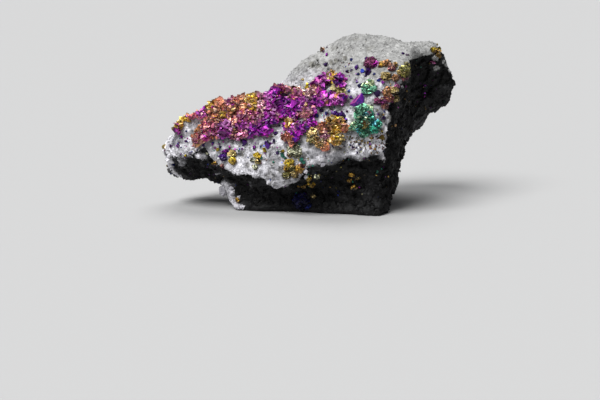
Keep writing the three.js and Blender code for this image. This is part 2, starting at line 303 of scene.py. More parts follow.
class Heap:
    """Crystals gathered into one mesh."""

    def __init__(self):
        self.points, self.corners, self.sizes, self.colours = [], [], [], []
        self.count = 0

    def add(self, shape, places, turns, scales, facet_colours, outward=None):
        """Adds a crystal at each place. facet_colours gives one facet's colour on every crystal, from the
        ways that it faces. outward says which way each crystal stands out: its foot is painted darker, as
        painted shade."""
        vertices, faces = shape
        turned = np.einsum("nij,nkj->nki", turns, vertices[None] * scales[:, None])
        self.points.append((turned + places[:, None]).reshape(-1, 3))
        shades = np.ones(turned.shape[:2])
        if outward is not None:
            height = np.einsum("nki,ni->nk", turned, outward) / scales.mean(axis=1)[:, None]
            shades = raised(PAINTED_FOOT_SHADE, ramp(height, *FOOT_HEIGHTS))
        starts = self.count + np.arange(len(places))[:, None] * len(vertices)
        for face in faces:
            first, second, third = (turned[:, corner] for corner in face[:3])
            facing = unit(np.cross(second - first, third - first))
            self.corners.append((starts + np.array(face)).ravel())
            self.sizes.append(np.full(len(places), len(face)))
            colours = facet_colours(facing)[:, None] * shades[:, face][..., None]
            self.colours.append(np.clip(colours, 0, 1).reshape(-1, 3))
        self.count += turned.shape[0] * turned.shape[1]

    def scatter(self, shapes, places, turns, scales, facet_colours, rng, outward=None):
        """Adds a crystal at each place, each of a shape chosen by chance."""
        kinds = rng.integers(len(shapes), size=len(places))
        for kind, shape in enumerate(shapes):
            chosen = np.flatnonzero(kinds == kind)
            if len(chosen):
                self.add(
                    shape, places[chosen], turns[chosen], scales[chosen],
                    lambda facing: facet_colours(chosen, facing),
                    None if outward is None else outward[chosen],
                )

    def piece(self, name, material, slot, replaced=()):
        points, corners, sizes, colours = (
            np.concatenate(parts) for parts in (self.points, self.corners, self.sizes, self.colours)
        )
        points[:, 2] = np.maximum(points[:, 2], 0)
        mesh = bpy.data.meshes.new(name)
        mesh.vertices.add(len(points))
        mesh.vertices.foreach_set("co", (points * MM).astype(np.float32).ravel())
        mesh.loops.add(len(corners))
        mesh.loops.foreach_set("vertex_index", corners.astype(np.int32))
        mesh.polygons.add(len(sizes))
        mesh.polygons.foreach_set("loop_start", (np.cumsum(sizes) - sizes).astype(np.int32))
        mesh.update(calc_edges=True)
        mesh.shade_flat()
        paint(mesh, "CORNER", colours)
        add_piece(name, mesh, material, replaced)


# -------- materials

# The usual range of a noise texture, and the scale in millimetres of the texture of growth lines. The
# lines are about 0.4 mm apart.
NOISE_RANGE = (0.3, 0.7)
GROWTH_LINE = 1.1
ROCK_SPECULAR = 0.15
TARNISH_METAL = 0.35


def node_tree(name):
    material = bpy.data.materials.new(name)
    material.use_nodes = True
    nodes, links = material.node_tree.nodes, material.node_tree.links
    return material, nodes, links, nodes["Principled BSDF"]


def noise_node(nodes, links, size, detail):
    """Noise whose features are the given number of millimetres across."""
    place = nodes.new("ShaderNodeTexCoord")
    noise = nodes.new("ShaderNodeTexNoise")
    noise.inputs["Scale"].default_value = 1 / (size * MM)
    noise.inputs["Detail"].default_value = detail
    links.new(place.outputs["Object"], noise.inputs["Vector"])
    return noise.outputs["Fac"]


def map_node(nodes, links, source, low, high):
    """The noise's usual range, stretched from low to high."""
    ranged = nodes.new("ShaderNodeMapRange")
    for name, value in zip(("From Min", "From Max", "To Min", "To Max"), (*NOISE_RANGE, low, high)):
        ranged.inputs[name].default_value = value
    links.new(source, ranged.inputs["Value"])
    return ranged.outputs["Result"]


def painted_colour(nodes, links, factor):
    """The colour painted on the mesh, made lighter or darker by the factor."""
    tint = nodes.new("ShaderNodeVertexColor")
    tint.layer_name = TINT
    product = nodes.new("ShaderNodeVectorMath")
    product.operation = "SCALE"
    links.new(tint.outputs["Color"], product.inputs[0])
    links.new(factor, product.inputs["Scale"])
    return product.outputs["Vector"]


def bump_node(nodes, links, height, depth, strength):
    bump = nodes.new("ShaderNodeBump")
    bump.inputs["Distance"].default_value = depth * MM
    bump.inputs["Strength"].default_value = strength
    links.new(height, bump.inputs["Height"])
    return bump.outputs["Normal"]


def rock_material(name, roughness):
    """Sugary rock: the painted colour with finer mottling, tiny pits and uneven gloss."""
    material, nodes, links, surface = node_tree(name)
    mottle = noise_node(nodes, links, size=0.6, detail=5)
    pits = noise_node(nodes, links, size=0.2, detail=3)
    shade = map_node(nodes, links, mottle, low=0.80, high=1.12)
    links.new(painted_colour(nodes, links, shade), surface.inputs["Base Color"])
    links.new(map_node(nodes, links, pits, roughness, roughness + 0.3), surface.inputs["Roughness"])
    links.new(bump_node(nodes, links, pits, depth=0.12, strength=0.6), surface.inputs["Normal"])
    surface.inputs["Specular IOR Level"].default_value = ROCK_SPECULAR
    return material


def tarnish_material(name, roughness):
    """Tarnished metal: the painted colour, blotched, with fine growth lines in an uneven gloss."""
    material, nodes, links, surface = node_tree(name)
    blotch = noise_node(nodes, links, size=0.4, detail=4)
    shade = map_node(nodes, links, blotch, low=0.7, high=1.2)
    links.new(painted_colour(nodes, links, shade), surface.inputs["Base Color"])
    links.new(map_node(nodes, links, blotch, roughness, roughness + 0.2), surface.inputs["Roughness"])
    place = nodes.new("ShaderNodeTexCoord")
    lines = nodes.new("ShaderNodeTexWave")
    lines.bands_direction = "DIAGONAL"
    lines.inputs["Scale"].default_value = 1 / (GROWTH_LINE * MM)
    lines.inputs["Distortion"].default_value = 9
    lines.inputs["Detail"].default_value = 3
    links.new(place.outputs["Object"], lines.inputs["Vector"])
    bump = bump_node(nodes, links, lines.outputs["Fac"], depth=0.05, strength=0.35)
    links.new(bump, surface.inputs["Normal"])
    surface.inputs["Metallic"].default_value = TARNISH_METAL
    return material


# -------- the rock

# The size of the faces of the rock's mesh, and how many times its edges are softened.
ROCK_DETAIL = 0.40
SOFTENINGS = 10

FRONT_ROCK = np.array([0.42, 0.415, 0.44])
CROWN_ROCK = np.array([0.26, 0.26, 0.255])
# Hollows and shaded dents are darkened towards this: painted shade, in the hollows partly a greyer olive
# tone. It is also the dark specks' own colour.
HOLLOW_ROCK = np.array([0.075, 0.07, 0.05])
# Painted shade: the broken right face and the underside, which lie in shadow, are painted near black.
SHADE_PAINTED_ROCK = np.array([0.009, 0.009, 0.0095])
# Painted shade inside the pits.
PIT_ROCK = np.array([0.03, 0.03, 0.027])
# How much paler the front is at the left, from this far left of x = 0 on, and at the right, from this
# far right of it on and below this height.
LEFT_PALER = 0.28
LEFT_FROM = (10, 18)
RIGHT_PALER = 0.9
RIGHT_FROM = (7, 13)
RIGHT_BELOW = 26
# How unlike the shades of neighbouring grains are, on the front and on the crown.
GRAIN_CONTRAST = np.array([0.9, 0.5])

# Relief on the pale and on the broken rock: the height, the size across and the seed of each layer.
KNOBBLY = [(0.75, 2.4, 21), (0.4, 1.2, 31)]
CRAGGY = [(0.7, 3.0, 101), (0.5, 1.4, 141)]
CRAGS_SUNK = 0.7
HOLLOW_DEPTH = 0.6
PIT_DEPTH = 0.5
SHADED_DENT_DEPTH = 0.2
# The relief starts between these heights, so that the rock stands on a flat foot.
RELIEF_STARTS = (0.3, 3)
# The crown starts between these heights, up and down by the wander. It is smoother than the rest.
CROWN_STARTS = (31, 37)
CROWN_WANDERS = 2
CROWN_SMOOTHER = 0.6

# The lower edge [x, z] and the right edge [z, x] of the clean front, where it turns to the broken sides,
# which are painted dark as painted shade.
LOWER_EDGE = [(-38.3, 14.8), (-31.1, 15.0), (-28.9, 16.3), (-27.3, 17.0), (-25, 13.5), (-22.5, 11.9),
              (-19.6, 10.9), (-16.2, 10.0), (-12.3, 10.1), (-11.2, 8.5), (-8.5, 6.8), (-6, 8.0),
              (-3.5, 8.9), (-2.4, 10.9), (-0.9, 13.4), (2.1, 15.0), (4.5, 15.2), (7.9, 16.2), (10.3, 16.8),
              (12.7, 16.0), (15.0, 17.3), (18.5, 16.4)]
RIGHT_EDGE = [(16.9, 18.5), (20.5, 19.2), (23.6, 19.6), (25.9, 20.5), (28.1, 19.2), (29.1, 20.7),
              (33.5, 22.6), (34.5, 24.4), (36.7, 25.8), (38.9, 25.6), (39.0, 28.9), (39.2, 31.4), (40.6, 34)]
# Right of here [x] the front fades into the painted shade of the broken underside over this many millimetres.
FADE_FROM = (-3, 5)
FADE_BELOW = 2
# Around this y, give or take the fade, the guessed back starts. There the edges aren't followed.
BACK_STARTS = 4
BACK_FADE = 3
# How much the painted shade on the back's down- and right-facing sides is lifted at the most, in patches and
# more further back.
BACK_SHADE_LIFT = 0.12

# Places [x, z, radius] on the broken sides where lit pale rock is painted into their painted shade, a painted
# light, and how much paler than the front it is painted.
LIT_SPOT_BRIGHTNESS = 1.6
LIT_PALE_SPOTS = [(-28.8, 14.9, 1.0), (-27.6, 14.5, 0.9), (-23.5, 14.2, 1.2), (-37.0, 13.6, 1.0),
              (-36.9, 12.3, 1.0), (-36.8, 10.9, 0.8), (-36.5, 9.6, 0.8), (-35.8, 8.5, 0.9),
              (-34.9, 7.7, 0.8), (-20.3, 4.5, 0.4), (-19.5, 2.5, 0.4), (-18.2, 1.3, 0.5), (3.3, 14.1, 0.5),
              (18.5, 14.8, 0.6), (23.6, 32.6, 0.4), (33.1, 38.4, 0.9), (33.5, 35.6, 0.8),
              (35.4, 37.3, 0.5), (36.1, 36.5, 0.5), (37.4, 34.9, 0.7), (38.8, 33.5, 0.6)]

# The underside of the left end, left of this x, hangs lower than the plain solid.
LEFT_END_REACH = -30.5
LEFT_END_FADE = 1.5
LEFT_END_HANGS = 1.6
# Its tip, and humps beside and under the crust, are cut back by this much at these places [x, z, radius].
CUT_BACK = 2.0
CUTS = [(-39.2, 13.4, 1.6), (-38.8, 11.8, 1.5), (-38.3, 10.3, 1.2), (-36.4, 20.3, 1.6), (-6.7, 30.2, 1.6)]

# The pieces of sugary grains: whether each is on the broken sides, where grains take the painted shade, how
# many grains it has, their size.
GRAIN_PIECES = [
    ("pale_1", False, 13000, 0.20),
    ("pale_2", False, 13000, 0.20),
    ("broken_and_shaded", True, 11000, 0.25),
]
# How much grains vary in shade, size and proportions, how deep they are sunk, and how large they get.
GRAIN_SHADES = (0.65, 1.35)
FACET_SHADES = (0.92, 1.08)
GRAIN_SPREAD = 0.5
GRAIN_STRETCH = (0.7, 1.4)
GRAIN_SUNK = 0.4
LARGEST_GRAIN = 0.45
# Grains on the crown are finer by this share.
CROWN_FINER = 0.3
# A few grains stand out: their share, and how much paler and larger they are.
CLEAR_GRAINS = 0.04
CLEAR_PALER = 1.4
CLEAR_LARGER = 1.5

# A crystal placed off the rock's edge moves towards this place [x, z] until it is on the rock.
MIDDLE = (0, 22)
# Spots on the front reach back as far as this y.
SPOTS_REACH = 12

# Small pits [x, z, radius] in the crown, painted dark inside as painted shade.
PITS = [(1.4, 37.5, 0.4), (2.1, 37.8, 0.25), (2.8, 37.9, 0.25), (2.7, 38.7, 0.25), (2.0, 38.4, 0.25),
        (0.4, 37.2, 0.25), (6.5, 37.9, 0.3), (7.0, 38.1, 0.25), (8.1, 38.8, 0.3), (8.9, 38.5, 0.25),
        (5.2, 36.8, 0.3), (6.0, 36.7, 0.25), (7.6, 37.1, 0.25), (7.7, 41.8, 0.25)]

# The masses that the rock is painted darker around, as painted shade, and more hollows [x, z, radius] painted
# greyish olive, as painted shade, in a crease across the crown and beside crystals.
SHADE_CASTING_MASSES = ["crust_main", "gold_centre", "teal_lower"]
SHADED_DENTS = [(1.1, 37.6, 0.9), (2.7, 37.4, 0.6), (4.5, 37.9, 0.6), (6.0, 38.3, 0.6), (7.3, 38.8, 0.6),
          (9.5, 39.5, 0.6), (-12.0, 21.5, 1.1), (-24.3, 19.5, 1.4), (-17.0, 19.6, 1.1), (-10.5, 22.3, 0.9),
          (-8.9, 21.6, 0.8), (3.0, 26.9, 0.8), (5.6, 28.3, 0.9), (9.9, 28.9, 0.8), (10.1, 26.0, 0.6),
          (10.1, 22.3, 0.7), (8.9, 20.0, 0.8), (15.9, 28.2, 0.7), (17.6, 26.3, 0.8), (5.8, 27.6, 0.6),
          (-9.5, 14.0, 0.9), (-7.4, 12.2, 0.9), (-15.8, 13.0, 0.8), (-1.4, 15.9, 0.8), (0.0, 18.6, 0.7)]


def dense_rock():
    """The rock's faceted solid with small, even faces, and rounded edges."""
    solid = bpy.data.objects.new("solid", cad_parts["host_rock"].data.copy())
    bpy.context.scene.collection.objects.link(solid)
    remesh = solid.modifiers.new("even", "REMESH")
    remesh.mode = "VOXEL"
    remesh.voxel_size = ROCK_DETAIL * MM
    soften = solid.modifiers.new("soften", "SMOOTH")
    soften.iterations = SOFTENINGS
    graph = bpy.context.evaluated_depsgraph_get()
    mesh = bpy.data.meshes.new_from_object(solid.evaluated_get(graph))
    bpy.data.objects.remove(solid)
    return mesh


def in_spots(points, spots):
    """1 in the middle of each spot on the front, and 0 outside them all."""
    inside = np.zeros(len(points))
    ragged = 0.25 * rough_noise(points, 0.8, 81)
    for x, z, radius in spots:
        away = np.hypot(points[:, 0] - x, points[:, 2] - z) / radius + ragged
        inside = np.maximum(inside, 1 - ramp(away, 0.7, 1.1))
    return inside * (points[:, 1] < SPOTS_REACH)


def line_at(line, values):
    """The second number of each place on a line where the first number is the value."""
    return np.interp(values, *np.transpose(line))


def broken_shaded_side(points, normals):
    """1 on the broken right face and the underside, which are painted dark as painted shade, and 0 on the
    pale rest.
    """
    x, y, z = points.T
    wander = 0.7 * rough_noise(points, 2.4, 41) + 0.3 * facet_noise(points, 1.0, 45)
    below = line_at(LOWER_EDGE, x) - z
    beyond = x - line_at(RIGHT_EDGE, z)
    front = ramp(below + wander, -0.25, 0.25 + FADE_BELOW * ramp(x, *FADE_FROM))
    front = np.maximum(front, ramp(beyond + 0.8 * wander, -0.3, 0.4))
    # Rock that faces left, towards the light, is kept out of the painted shade.
    faces_left = ramp(-normals[:, 0] + 0.2 * wander, 0.6, 0.8)
    front = front * (1 - faces_left)
    # On the back, rock that faces down or right, away from the light, gets the painted shade.
    faces_down_or_right = np.maximum(-normals[:, 2] - 0.2, normals[:, 0] - 0.5)
    back_shade = 0.97 - BACK_SHADE_LIFT * ramp(rough_noise(points, 6, 47) + y / 20, 0, 1.6)
    back = back_shade * ramp(faces_down_or_right + 0.35 * wander, -0.1, 0.2)
    backwards = ramp(y + BACK_FADE * wander, BACK_STARTS - BACK_FADE, BACK_STARTS + BACK_FADE)
    return front + (back - front) * backwards


def crown(points):
    """1 on the smooth, finely sugared top, and 0 lower down."""
    return ramp(points[:, 2] + CROWN_WANDERS * smooth_noise(points, 6, 95), *CROWN_STARTS)


def hollows(points):
    return ramp(rough_noise(points, 2.6, 51), 0.2, 0.75) * (1 - CROWN_SMOOTHER * crown(points))


def specks(points):
    """Small dark specks, crowded on the right of the front and sparse elsewhere."""
    crowded = ramp(points[:, 0], 6, 14) * ramp(smooth_noise(points, 3, 88), -0.6, 0.2) * (1 - crown(points))
    return 0.75 * ramp(smooth_noise(points, 0.75, 85), 0.75 - 0.5 * crowded, 0.95 - 0.4 * crowded)


def rock_relief(points, normals):
    """How far each point of the rock stands out from the plain form, in millimetres."""
    lumps = rough_noise(points, 5, 11)
    bent = points + 0.4 * lumps[:, None]
    knobs = layered(knob_noise, bent, KNOBBLY) * (1 - CROWN_SMOOTHER * crown(points))
    pale = 0.35 * lumps + knobs + 0.2 * knob_noise(points, 0.9, 35)
    pale = pale - HOLLOW_DEPTH * hollows(points)
    pale = pale - PIT_DEPTH * in_spots(points, PITS) - SHADED_DENT_DEPTH * in_spots(points, SHADED_DENTS)
    craggy = layered(facet_noise, bent, CRAGGY) + 0.3 * lumps - CRAGS_SUNK
    relief = pale + (craggy - pale) * broken_shaded_side(points, normals)
    left_end = ramp(LEFT_END_REACH - points[:, 0], -LEFT_END_FADE, LEFT_END_FADE)
    under_left_end = ramp(-normals[:, 2], 0, 0.5) * left_end
    relief = relief + LEFT_END_HANGS * under_left_end - CUT_BACK * in_spots(points, CUTS)
    return relief * ramp(points[:, 2], *RELIEF_STARTS)


def shade_beside_crystals(points):
    """1 on the rock right beside the large crystal masses, where it is painted darker as painted shade, and 0
    more than a millimetre away.
    """
    distances = np.full(len(points), 9.0)
    for node in SHADE_CASTING_MASSES:
        tree = solid_tree(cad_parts[node].data)
        distances = np.minimum(distances, [tree.find_nearest(place)[3] for place in points.tolist()])
    return 1 - ramp(distances + 0.6 * rough_noise(points, 2, 91), 0.1, 1.3)


def rock_colour(points, broken_and_shaded):
    """The rock's colour before the fine mottling of its material."""
    top = crown(points)
    patches = ramp(rough_noise(points, 4, 61), -0.5, 0.6)
    colour = mix(FRONT_ROCK, CROWN_ROCK, top) * (0.80 + 0.26 * patches)[:, None]
    left = ramp(-points[:, 0], *LEFT_FROM)
    low_right = ramp(points[:, 0], *RIGHT_FROM) * ramp(RIGHT_BELOW - points[:, 2], -2, 2)
    colour = colour * (1 + (LEFT_PALER * left + RIGHT_PALER * low_right) * (1 - top))[:, None]
    # Darker in the hollows, in the shaded dents, beside the large crystal masses and in the pits: painted
    # shade, in the hollows partly with a greyer olive tone. The specks are the rock's own dark grains.
    painted_shade_near = np.maximum(in_spots(points, SHADED_DENTS), shade_beside_crystals(points))
    colour = mix(colour, HOLLOW_ROCK, 0.8 * np.maximum(hollows(points), 0.7 * painted_shade_near))
    colour = mix(colour, HOLLOW_ROCK, specks(points))
    colour = mix(colour, PIT_ROCK, in_spots(points, PITS))
    # Each patch the size of a few grains has its own shade.
    _, _, _, owner = cell_noise(points, 0.8, 71)
    grain = lattice_random(owner, 75)
    contrast = mix(GRAIN_CONTRAST[:1], GRAIN_CONTRAST[1:], top)
    colour = colour * (1.08 + contrast * (grain - 0.6)[:, None])
    # The broken sides are painted dark and blotched, as painted shade, and lit pale rock is painted in spots
    # on them, as painted light.
    blotches = 0.5 + 1.8 * ramp(rough_noise(points, 3, 65), -0.1, 0.8)
    dark = SHADE_PAINTED_ROCK * (blotches * (0.5 + grain))[:, None]
    dark = mix(dark, LIT_SPOT_BRIGHTNESS * colour, 0.85 * in_spots(points, LIT_PALE_SPOTS))
    return mix(colour, dark, broken_and_shaded)


class Rock:
    """The rock's mesh in millimetres, with what the grains and crystals on it need."""

    def __init__(self, material):
        mesh = dense_rock()
        points, self.triangles, normals = mesh_arrays(mesh)
        self.points = points + normals * rock_relief(points, normals)[:, None]
        self.points[:, 2] = np.maximum(self.points[:, 2], 0)
        self.broken_and_shaded = broken_shaded_side(points, normals)
        self.colours = rock_colour(self.points, self.broken_and_shaded)
        mesh.vertices.foreach_set("co", (self.points * MM).astype(np.float32).ravel())
        mesh.update()
        paint(mesh, "POINT", self.colours)
        self.tree = BVHTree.FromPolygons(self.points.tolist(), self.triangles.tolist())
        self.plain_tree = solid_tree(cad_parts["host_rock"].data)
        add_piece("rock_matrix", mesh, material, ["host_rock"])

    def seat(self, x, z):
        """The place on the rock at x and z, seen from the front, and the way that the rock faces
        there. A place off the edge moves in until it is on the rock."""
        for share in np.arange(0, 0.3, 0.01):
            start = (x + share * (MIDDLE[0] - x), -100, z + share * (MIDDLE[1] - z))
            spot, _, _, _ = self.tree.ray_cast(Vector(start), Vector((0, 1, 0)))
            if spot is not None:
                _, normal, _, _ = self.plain_tree.find_nearest(spot)
                return np.array(spot), np.array(normal)
        raise ValueError(f"no rock near {x}, {z}")

    def above(self, places):
        """How far each place is outside the rock, and less than 0 inside it."""
        heights = np.zeros(len(places))
        for index, place in enumerate(places.tolist()):
            spot, normal, _, distance = self.tree.find_nearest(place)
            heights[index] = math.copysign(distance, (Vector(place) - spot).dot(normal))
        return heights


def make_grains(name, rock, wanted, count, size, seed, material):
    """Sugary grains, half sunk in the rock, on those of its triangles that are wanted."""
    rng = np.random.default_rng(seed)
    triangles = rock.triangles[wanted]
    places, ways, chosen = surface_points(rock.points, triangles, count, rng)
    tints = rock.colours[triangles[chosen, 0]] * rng.uniform(*GRAIN_SHADES, (count, 1))
    scales = size * rng.lognormal(0, GRAIN_SPREAD, (count, 1)) * rng.uniform(*GRAIN_STRETCH, (count, 3))
    scales = scales * (1 - CROWN_FINER * crown(places))[:, None]
    clear = rng.random(count) < CLEAR_GRAINS
    tints[clear] *= CLEAR_PALER
    scales[clear] *= CLEAR_LARGER
    scales = np.minimum(scales, LARGEST_GRAIN)
    places = places - ways * scales.mean(axis=1)[:, None] * GRAIN_SUNK
    places[:, 2] = np.maximum(places[:, 2], scales.max(axis=1))
    heap = Heap()
    heap.scatter(
        GRAINS, places, random_turns(count, rng), scales,
        lambda chosen, facing: tints[chosen] * rng.uniform(*FACET_SHADES, (len(chosen), 1)), rng,
    )
    heap.piece(name, material, "matrix")


# -------- the crystals' colours

YELLOW = (1.00, 0.72, 0.03)
GOLD = (0.92, 0.52, 0.07)
ORANGE = (0.96, 0.44, 0.11)
SALMON = (0.98, 0.40, 0.20)
CORAL = (0.97, 0.28, 0.26)
RUBY = (0.82, 0.06, 0.52)
CREAM = (1.00, 0.70, 0.48)
PINK = (0.95, 0.24, 0.58)
LILAC = (0.95, 0.32, 0.95)
MAGENTA = (0.82, 0.03, 0.68)
PLUM = (0.20, 0.01, 0.20)
PURPLE = (0.42, 0.01, 0.54)
VIOLET = (0.09, 0.01, 0.25)
BLUE = (0.03, 0.06, 0.50)
NAVY = (0.01, 0.01, 0.12)
BLACK = (0.004, 0.003, 0.012)
CYAN = (0.16, 0.62, 0.78)
TEAL = (0.07, 0.48, 0.34)
JADE = (0.30, 0.80, 0.52)
PINE = (0.02, 0.15, 0.09)
LIME = (0.74, 0.88, 0.50)
BRASS = (0.86, 0.64, 0.24)
OLIVE = (0.36, 0.32, 0.09)
SAGE = (0.68, 0.70, 0.50)
ROSE = (0.40, 0.09, 0.22)
COPPER = (0.60, 0.27, 0.18)
AMBER = (0.78, 0.38, 0.17)
MOSS = (0.42, 0.40, 0.08)
BROWN = (0.14, 0.07, 0.05)

# Each look goes from the colour of facets that face the light to that of facets that face away: partly a
# change of tarnish hue, and partly painted shade, as the colours away from the light are darker.
LOOKS = {
    "gold_on_pink": (GOLD, PINK),
    "orange": (ORANGE, CORAL),
    "yellow": (YELLOW, ORANGE),
    "cream": (CREAM, PINK),
    "salmon": (SALMON, RUBY),
    "tan": (CREAM, RUBY),
    "lilac": (LILAC, MAGENTA),
    "magenta": (PINK, PURPLE),
    "purple": (MAGENTA, VIOLET),
    "violet": (PURPLE, VIOLET),
    "deep": (VIOLET, NAVY),
    "blue": (BLUE, NAVY),
    # Night is mostly given to crystals in the shade under the rock and on its right: painted shade.
    "night": (NAVY, BLACK),
    "dark": (COPPER, PLUM),
    "plum": (MAGENTA, PLUM),
    "rose": (ROSE, PLUM),
    "olive": (BRASS, BROWN),
    "brass": (BRASS, OLIVE),
    "shaded": (OLIVE, BROWN),
    "gold": (YELLOW, COPPER),
    "bronze": (GOLD, BROWN),
    "copper": (AMBER, BROWN),
    "moss": (MOSS, BROWN),
    "sage": (SAGE, OLIVE),
    "cyan": (CYAN, PINE),
    "teal": (JADE, PINE),
    "green": (LIME, TEAL),
    "pine": (TEAL, PINE),
}
# The way to the key light, which the crystals' painted light and shade follow.
LIGHT_SIDE = unit(np.array([-0.3, -0.5, 0.8]))
# How much the way that a crystal stands and the way that a facet faces towards the light, which paint light
# and shade, and chance count for the colour.
STANDING_SHARE = 0.4
FACING_SHARE = 0.35
CRYSTAL_SPREAD = 0.15
FACET_SPREAD = 0.2
# Facets differ in brightness by chance, within these limits, as painted glints, and are painted less bright
# away from the light, as painted shade.
SHEEN_SPREAD = 0.85
SHEEN_LIMITS = (-2, 1.6)
AWAY_STANDING = 0.6
AWAY_FACING = 0.7
# How much darker the facets with the deepest colour are painted, mostly those that face away from the light:
# painted shade.
SHADED_DEEPEST = 0.6
# How much whiter the brightest painted facets are: painted highlights.
PAINTED_HIGHLIGHT = 0.3
# The share of crystals that have the look of another crystal of the mass.
STRAY_SHARE = 0.05


def look_colours(looks, ways, painted_light, rng):
    """A rule for the colours of crystals' facets, where looks names the look of each crystal and ways says
    which way each stands. The colours are painted lighter towards the light and darker away from it, with
    painted glints and highlights, and a further factor, a painted light and shade, makes them all brighter or
    darker."""
    stray = rng.random(len(looks)) < STRAY_SHARE
    others = rng.permutation(looks)
    looks = [other if strays else look for look, other, strays in zip(looks, others, stray)]
    bright = np.array([LOOKS[look][0] for look in looks])
    deep = np.array([LOOKS[look][1] for look in looks])
    stands_to_light = ways @ LIGHT_SIDE
    own = 0.5 - STANDING_SHARE * stands_to_light + CRYSTAL_SPREAD * rng.normal(size=len(looks))
    lit = painted_light * raised(AWAY_STANDING, ramp(stands_to_light, -0.5, 0.5))

    def facet_colours(chosen, facing):
        towards_light = facing @ LIGHT_SIDE
        share = own[chosen] - FACING_SHARE * towards_light + FACET_SPREAD * rng.normal(size=len(chosen))
        colours = mix(bright[chosen], deep[chosen], np.clip(share, 0, 1))
        sheen = np.exp(SHEEN_SPREAD * np.clip(rng.normal(size=len(chosen)), *SHEEN_LIMITS))
        sheen = sheen * raised(AWAY_FACING, ramp(towards_light, -0.6, 0.2)) * lit[chosen]
        sheen = sheen * (1 - SHADED_DEEPEST * ramp(share, 0.9, 1.3))
        colours = colours * sheen[:, None]
        strongest = np.maximum(colours.max(axis=1), 1)
        return mix(colours / strongest[:, None], np.ones(3), PAINTED_HIGHLIGHT * ramp(strongest, 1.5, 5))

    return facet_colours


# -------- the crystal masses

# Lobes of the crust by their look: the middle [x, z] of each in the front view, and its radius.
CRUST_LOOKS = {
    "yellow": [
        (-32.5, 23.5, 1.8), (-25.5, 28.4, 1.4), (-14.6, 29.3, 1.8), (-21.8, 25.8, 0.9), (-4.8, 23.8, 0.8),
        (6.4, 35.3, 0.7),
    ],
    "plum": [(-33.3, 21.4, 0.4)],
    "salmon": [
        (-29.8, 25.0, 1.3), (-17.9, 25.1, 1.2), (-15.6, 25.1, 1.6), (-27.4, 21.7, 1.4), (-24.8, 22.4, 1.6),
        (-16.7, 21.3, 0.8), (-6.5, 32.3, 0.8), (-3.2, 30.2, 1.1), (3.5, 31.7, 0.6),
    ],
    "magenta": [
        (-27.4, 26.6, 0.9), (-21.4, 21.7, 1.4), (-16.6, 22.9, 1.2), (3.1, 34.4, 1.4), (4.1, 30.1, 1.4),
    ],
    "orange": [
        (-22.8, 27.5, 1.6), (-17.6, 29.2, 1.4), (-24.2, 25.5, 1.6), (-19.7, 26.8, 1.4), (-29.0, 22.1, 1.4),
        (-5.3, 20.4, 1.2),
    ],
    "tan": [(-20.5, 29.0, 0.9), (-12.5, 24.9, 1.3), (-7.4, 25.0, 0.8)],
    "cream": [(-12.0, 28.9, 1.4), (0.4, 31.2, 0.8)],
    "lilac": [
        (-10.1, 28.8, 1.4), (-9.4, 26.6, 1.6), (-22.0, 24.0, 1.0), (-1.4, 28.9, 1.1), (-3.9, 23.0, 1.1),
        (7.4, 29.7, 1.4),
    ],
    "gold_on_pink": [(-28.5, 19.4, 0.9), (-4.4, 31.6, 1.6), (-1.2, 26.3, 1.3), (1.5, 34.1, 1.1)],
    "dark": [(-18.8, 20.5, 1.4)],
    "purple": [
        (-13.6, 21.2, 1.6), (-11.0, 23.7, 1.4), (-7.8, 29.6, 2.2), (-3.5, 28.3, 1.6), (-5.9, 26.3, 1.4),
        (-7.4, 23.5, 1.4), (-1.8, 22.8, 1.2), (1.0, 24.1, 1.1), (-3.1, 20.9, 1.1), (8.0, 34.0, 1.6),
        (4.5, 31.5, 1.1), (1.9, 28.8, 1.3), (9.1, 29.3, 1.1),
    ],
    "brass": [(7.9, 31.9, 1.1)],
}

